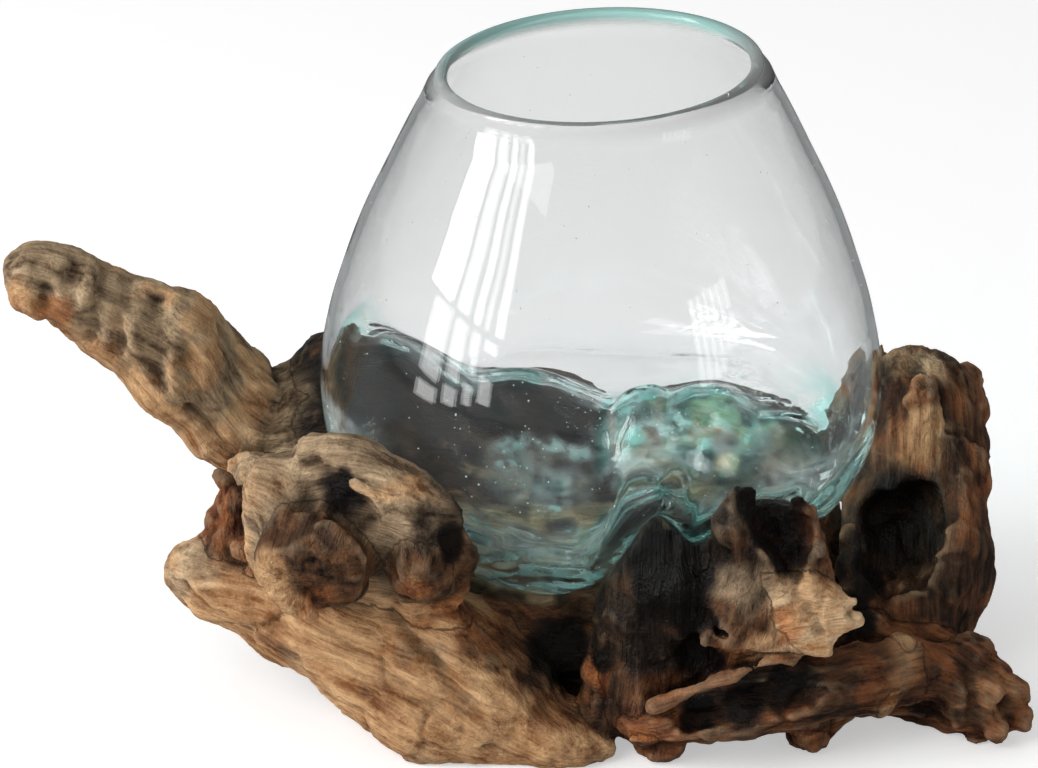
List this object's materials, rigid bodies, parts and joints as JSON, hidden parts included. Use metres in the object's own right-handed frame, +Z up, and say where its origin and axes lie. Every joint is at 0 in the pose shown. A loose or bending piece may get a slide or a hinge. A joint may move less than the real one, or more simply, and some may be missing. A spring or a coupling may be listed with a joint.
{
  "type": "glass vase on root",
  "caption": "Clear blown glass bulb vase with an open mouth, its underside slumped over the humps of a piece of gnarled root wood that carries it.",
  "frame": {"origin": "on the table, under the middle of the whole object's bounding box", "axes": "+X to the right as seen from the front, along the longest extent; +Y away from the front, towards the rear roots; +Z up, out of the vase's mouth"},
  "size_m": [0.298, 0.171, 0.1855],
  "materials": {
    "clear_glass": "clear blown glass with a faint aqua tint, small seeds and a fire-polished lip",
    "weathered_bark": "grey-brown weathered root skin, matt",
    "tan_wood": "scrubbed tan root wood with raised grain, matt",
    "knot_wood": "reddish brown knots and cut stubs, satin",
    "dark_wood": "dark brown root wood, satin",
    "charred_wood": "blackened where the hot glass touched, semi-gloss",
    "red_brown_wood": "red-brown root wood, satin",
    "broken_wood": "pale freshly broken wood, rough"
  },
  "bodies": {
    "root": {"left_arm": "weathered_bark", "front_burl": "weathered_bark", "left_trunk": "tan_wood", "burl_disc": "knot_wood", "burl_knob": "knot_wood", "side_knob": "knot_wood", "root_core": "dark_wood", "core_front": "dark_wood", "back_ridge": "dark_wood", "centre_mound": "dark_wood", "front_saddle": "charred_wood", "horn": "charred_wood", "broken_spur": "broken_wood", "lower_bark": "red_brown_wood", "peg_front": "red_brown_wood", "peg_side": "red_brown_wood", "right_slab": "dark_wood", "slab_spike": "red_brown_wood", "slab_thorn": "dark_wood", "right_root": "red_brown_wood", "root_knob": "knot_wood", "rear_root_left": "dark_wood", "rear_root_right": "dark_wood", "rear_stub": "dark_wood"},
    "vase": {"glass_vessel": "clear_glass"}
  },
  "joints": [
    {"name": "vase_lift", "type": "slide", "parent": "root", "child": "vase", "axis": [0, 0, 1], "range_m": [0, 0.12]}
  ]
}
